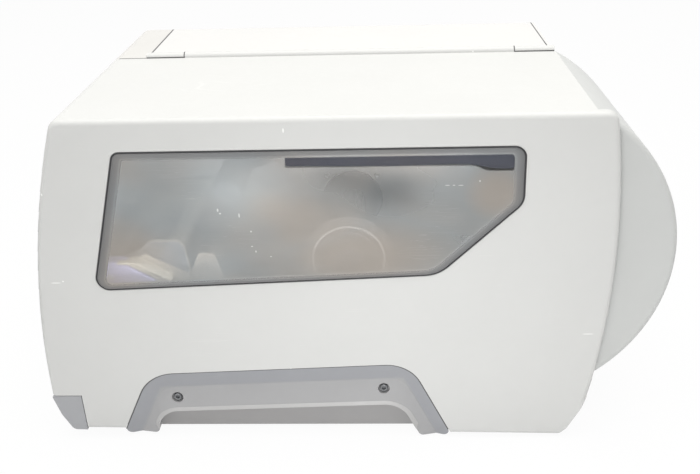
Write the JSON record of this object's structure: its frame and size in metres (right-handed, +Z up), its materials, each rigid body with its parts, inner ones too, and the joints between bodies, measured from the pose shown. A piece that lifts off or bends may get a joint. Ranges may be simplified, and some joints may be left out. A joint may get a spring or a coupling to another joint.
{
  "type": "industrial label printer",
  "caption": "Desktop industrial label printer with a lift-up L-shaped side door, smoked window, rear roll bulge and arched skirts.",
  "frame": {"origin": "on the floor under the middle of the machine", "axes": "+X towards the side door, +Y towards the rear with the roll bulge, +Z up"},
  "size_m": [0.276, 0.492, 0.284],
  "materials": {
    "door_plastic": "light warm grey moulded plastic, fine spark texture",
    "cover_paint": "off-white powder coat",
    "bezel_plastic": "warm grey moulded plastic",
    "trim_plastic": "dark grey moulded plastic",
    "smoked_window": "smoked clear plastic, gloss",
    "black_plastic": "black moulded plastic",
    "pan_paint": "grey powder-coated sheet",
    "zinc_steel": "zinc plated sheet and ground shafts",
    "grey_screws": "grey passivated socket screws",
    "cast_aluminium": "cast and sand-finished",
    "deck_plastic": "mid grey moulded plastic",
    "cream_plastic": "cream moulded plastic",
    "touch_lilac": "lilac touch point plastic",
    "spot_white": "white pad print",
    "platen_rubber": "ground platen rubber",
    "foot_rubber": "moulded rubber",
    "belt_rubber": "toothed belt rubber",
    "bearing_brass": "sintered bronze",
    "spindle_plastic": "dark grey glass-filled plastic",
    "pulley_aluminium": "machined",
    "motor_black": "black enamel",
    "lens_gloss": "hard coated display lens",
    "display_panel": "unlit display panel",
    "lamp_diffuser": "milky light pipe",
    "button_grey": "dark grey rubberised keys",
    "button_blue": "blue rubberised key",
    "circuit_board": "green solder mask",
    "socket_metal": "plated socket shells"
  },
  "bodies": {
    "housing": {"hinge_rail": "door_plastic", "rear_sill": "door_plastic", "left_cover": "cover_paint", "front_bezel": "bezel_plastic", "arch_skirt_right": "trim_plastic", "arch_skirt_left": "trim_plastic", "front_chin": "trim_plastic", "exit_fascia": "trim_plastic", "power_inlet": "black_plastic", "switch_frame": "black_plastic", "base_pan": "pan_paint", "rear_panel": "zinc_steel", "hinge_pin": "zinc_steel", "head_shaft": "zinc_steel", "tear_bar": "zinc_steel", "power_supply": "zinc_steel", "motor_bracket": "zinc_steel", "rear_screws": "zinc_steel", "skirt_screws": "grey_screws", "centre_wall": "cast_aluminium", "print_bed": "cast_aluminium", "media_deck": "deck_plastic", "label_tray": "deck_plastic", "label_post": "deck_plastic", "rubber_feet": "foot_rubber", "drive_belt": "belt_rubber", "platen_bearings": "bearing_brass", "supply_clutch": "spindle_plastic", "step_motor": "motor_black", "rewind_motor": "motor_black", "display_lens": "lens_gloss", "display_module": "display_panel", "status_lamps": "lamp_diffuser", "main_board": "circuit_board", "control_board": "circuit_board", "gap_sensor": "circuit_board", "interface_sockets": "socket_metal"},
    "door": {"side_door": "door_plastic", "door_window": "smoked_window", "window_retainer": "black_plastic", "door_rear_bulge": "door_plastic"},
    "platen": {"platen_rubber": "platen_rubber", "platen_shaft": "zinc_steel", "platen_pulley": "pulley_aluminium"},
    "motor_rotor": {"motor_pulley": "pulley_aluminium"},
    "head_frame": {"head_carrier": "cream_plastic", "print_head": "black_plastic", "head_heat_sink": "cast_aluminium", "ribbon_guide_rod": "zinc_steel"},
    "head_lever": {"lift_lever": "touch_lilac", "lever_spot": "spot_white"},
    "supply_reel": {"supply_spindle": "spindle_plastic"},
    "rewind_reel": {"rewind_spindle": "spindle_plastic"},
    "damper_arm": {"label_damper": "spindle_plastic"},
    "roll_stop": {"roll_retainer": "black_plastic"},
    "edge_guide": {"label_edge_guide": "touch_lilac"},
    "pause_key": {"pause_button": "button_grey"},
    "feed_key": {"feed_button": "button_blue"},
    "cancel_key": {"cancel_button": "button_grey"},
    "rocker": {"power_rocker": "black_plastic"}
  },
  "joints": [
    {"name": "door_hinge", "type": "hinge", "parent": "housing", "child": "door", "pos_m": [-0.031, 0.0025, 0.28], "axis": [0, -1, 0], "range_deg": [0, 175]},
    {"name": "platen_spin", "type": "hinge", "parent": "housing", "child": "platen", "pos_m": [0, -0.2055, 0.106], "axis": [1, 0, 0], "continuous": true},
    {"name": "motor_spin", "type": "hinge", "parent": "housing", "child": "motor_rotor", "pos_m": [-0.042, -0.1275, 0.08], "axis": [1, 0, 0], "continuous": true},
    {"name": "head_lift", "type": "hinge", "parent": "housing", "child": "head_frame", "pos_m": [0, -0.1375, 0.16], "axis": [-1, 0, 0], "range_deg": [0, 18]},
    {"name": "lever_turn", "type": "hinge", "parent": "housing", "child": "head_lever", "pos_m": [0.114, -0.1555, 0.145], "axis": [-1, 0, 0], "range_deg": [0, 72]},
    {"name": "supply_spin", "type": "hinge", "parent": "housing", "child": "supply_reel", "pos_m": [0, -0.0005, 0.144], "axis": [1, 0, 0], "continuous": true},
    {"name": "rewind_spin", "type": "hinge", "parent": "housing", "child": "rewind_reel", "pos_m": [0, -0.0925, 0.205], "axis": [1, 0, 0], "continuous": true},
    {"name": "damper_swing", "type": "hinge", "parent": "housing", "child": "damper_arm", "pos_m": [-0.03, -0.0575, 0.07], "axis": [-1, 0, 0], "range_deg": [0, 20]},
    {"name": "retainer_slide", "type": "slide", "parent": "housing", "child": "roll_stop", "axis": [1, 0, 0], "range_m": [-0.06, 0.04]},
    {"name": "guide_slide", "type": "slide", "parent": "housing", "child": "edge_guide", "axis": [1, 0, 0], "range_m": [-0.065, 0.007]},
    {"name": "pause_press", "type": "slide", "parent": "housing", "child": "pause_key", "axis": [0, 0.9848, -0.1739], "range_m": [0, 0.0012], "stiffness_N_per_m": 500, "springref_m": -0.0006},
    {"name": "feed_press", "type": "slide", "parent": "housing", "child": "feed_key", "axis": [0, 0.9848, -0.1739], "range_m": [0, 0.0012], "stiffness_N_per_m": 500, "springref_m": -0.0006},
    {"name": "cancel_press", "type": "slide", "parent": "housing", "child": "cancel_key", "axis": [0, 0.9848, -0.1739], "range_m": [0, 0.0012], "stiffness_N_per_m": 500, "springref_m": -0.0006},
    {"name": "power_rock", "type": "hinge", "parent": "housing", "child": "rocker", "pos_m": [-0.108, 0.1685, 0.098], "axis": [0, 0, -1], "range_deg": [0, 12]}
  ],
  "couplings": [
    {"joint": "motor_spin", "follows": "platen_spin", "ratio": 2},
    {"joint": "lever_turn", "follows": "head_lift", "ratio": 4}
  ]
}
